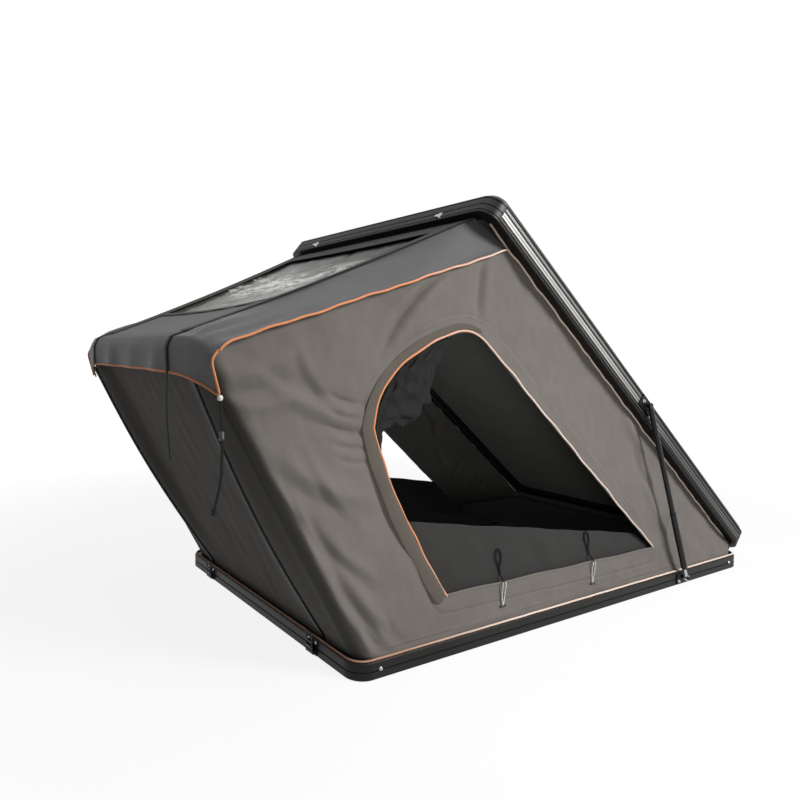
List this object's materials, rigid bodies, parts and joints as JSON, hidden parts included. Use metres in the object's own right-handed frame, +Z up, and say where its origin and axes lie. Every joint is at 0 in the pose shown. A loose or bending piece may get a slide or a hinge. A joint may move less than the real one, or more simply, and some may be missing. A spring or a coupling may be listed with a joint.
{
  "type": "roof top tent",
  "caption": "Hard-shell wedge roof top tent with a rear-hinged lid on gas struts, canvas walls with D-shaped doors, a rain fly with a clear window and front draw latches.",
  "frame": {"origin": "centre of the base's underside, in the plane of the mounting rails' lower faces", "axes": "+X to the rear hinge, +Y to the left-hand side seen from the open front, +Z up"},
  "size_m": [2.6315, 1.36, 1.484],
  "materials": {
    "anodised_rail": "black anodised, satin",
    "black_casting": "black powder coat",
    "roof_sheet": "black textured powder coat",
    "floor_board": "mill finish sandwich board",
    "mount_rail": "grey anodised",
    "seal_rubber": "matte",
    "orange_piping": "woven welt",
    "mattress_cover": "knit",
    "liner_fabric": "brushed",
    "steel": "zinc plated",
    "strut_black": "gloss black",
    "canvas": "coated poly-cotton canvas",
    "fly_fabric": "coated polyester",
    "mesh": "fine mesh",
    "webbing": "woven webbing",
    "clear_pvc": "clear film",
    "pale_plastic": "moulded"
  },
  "bodies": {
    "base": {"base_rail_left": "anodised_rail", "base_rail_right": "anodised_rail", "base_rail_front": "anodised_rail", "base_rail_rear": "anodised_rail", "base_corners": "black_casting", "floor_panel": "floor_board", "mount_rail_left": "mount_rail", "mount_rail_right": "mount_rail", "base_seal": "seal_rubber", "base_piping": "orange_piping", "mattress": "mattress_cover", "hinge_base_leaves": "black_casting", "hinge_pins": "steel", "strut_base_brackets": "steel", "latch_plates": "steel", "rod_sockets": "black_casting", "awning_rods": "strut_black", "wall_left": "canvas", "wall_right": "canvas", "front_wall": "canvas", "door_piping_left": "orange_piping", "door_piping_right": "orange_piping", "door_flap_left": "canvas", "door_flap_right": "canvas", "door_mesh_left": "mesh", "door_mesh_right": "mesh", "door_ties": "webbing"},
    "lid": {"lid_rail_left": "anodised_rail", "lid_rail_right": "anodised_rail", "lid_rail_front": "anodised_rail", "lid_rail_rear": "anodised_rail", "lid_corners": "black_casting", "lid_skin": "roof_sheet", "lid_liner": "liner_fabric", "lid_piping": "orange_piping", "hinge_lid_leaves": "black_casting", "strut_lid_brackets": "black_casting", "latch_keepers": "steel", "fly": "fly_fabric", "fly_piping": "orange_piping", "skylight": "clear_pvc", "fly_strap_left": "webbing", "fly_strap_right": "webbing", "tip_toggle": "pale_plastic", "tip_cord": "webbing"},
    "strut_rod_left": {"strut_rod_left": "steel", "strut_cover_left": "strut_black"},
    "strut_barrel_left": {"strut_barrel_left": "strut_black"},
    "strut_rod_right": {"strut_rod_right": "steel", "strut_cover_right": "strut_black"},
    "strut_barrel_right": {"strut_barrel_right": "strut_black"},
    "latch_lever_left": {"latch_lever_left": "steel"},
    "latch_bail_left": {"latch_bail_left": "steel"},
    "latch_lever_right": {"latch_lever_right": "steel"},
    "latch_bail_right": {"latch_bail_right": "steel"}
  },
  "joints": [
    {"name": "lid_fold", "type": "hinge", "parent": "base", "child": "lid", "pos_m": [1.061, 0, 0.058], "axis": [0, -1, 0], "range_deg": [0, 40.3], "stiffness_Nm_per_rad": 100, "springref_deg": -171.89, "deforming": ["awning_rods", "wall_left", "wall_right", "front_wall", "door_piping_left", "door_piping_right", "door_flap_left", "door_flap_right", "door_mesh_left", "door_mesh_right", "door_ties", "fly", "fly_piping", "skylight", "fly_strap_left", "fly_strap_right", "tip_toggle", "tip_cord"]},
    {"name": "strut_swing_left", "type": "hinge", "parent": "base", "child": "strut_rod_left", "pos_m": [0.6, 0.668, 0.03], "axis": [0, -1, 0], "range_deg": [-0.5, 61.12]},
    {"name": "strut_slide_left", "type": "slide", "parent": "strut_rod_left", "child": "strut_barrel_left", "axis": [0.3618, 0, -0.9323], "range_m": [-0.001, 0.21713]},
    {"name": "strut_swing_right", "type": "hinge", "parent": "base", "child": "strut_rod_right", "pos_m": [0.6, -0.668, 0.03], "axis": [0, -1, 0], "range_deg": [-0.5, 61.12]},
    {"name": "strut_slide_right", "type": "slide", "parent": "strut_rod_right", "child": "strut_barrel_right", "axis": [0.3618, 0, -0.9323], "range_m": [-0.001, 0.21713]},
    {"name": "latch_swing_left", "type": "hinge", "parent": "base", "child": "latch_lever_left", "pos_m": [-1.06, 0.41, 0.014], "axis": [0, -1, 0], "range_deg": [0, 70]},
    {"name": "bail_swing_left", "type": "hinge", "parent": "latch_lever_left", "child": "latch_bail_left", "pos_m": [-1.06475, 0.41, 0.032], "axis": [0, -1, 0], "range_deg": [0, 30]},
    {"name": "latch_swing_right", "type": "hinge", "parent": "base", "child": "latch_lever_right", "pos_m": [-1.06, -0.41, 0.014], "axis": [0, -1, 0], "range_deg": [0, 70]},
    {"name": "bail_swing_right", "type": "hinge", "parent": "latch_lever_right", "child": "latch_bail_right", "pos_m": [-1.06475, -0.41, 0.032], "axis": [0, -1, 0], "range_deg": [0, 30]}
  ],
  "couplings": [
    {"joint": "strut_swing_left", "follows": "lid_fold", "ratio": 1.5042},
    {"joint": "strut_slide_left", "follows": "lid_fold", "m_per_rad": 0.30728},
    {"joint": "strut_swing_right", "follows": "lid_fold", "ratio": 1.5042},
    {"joint": "strut_slide_right", "follows": "lid_fold", "m_per_rad": 0.30728}
  ]
}
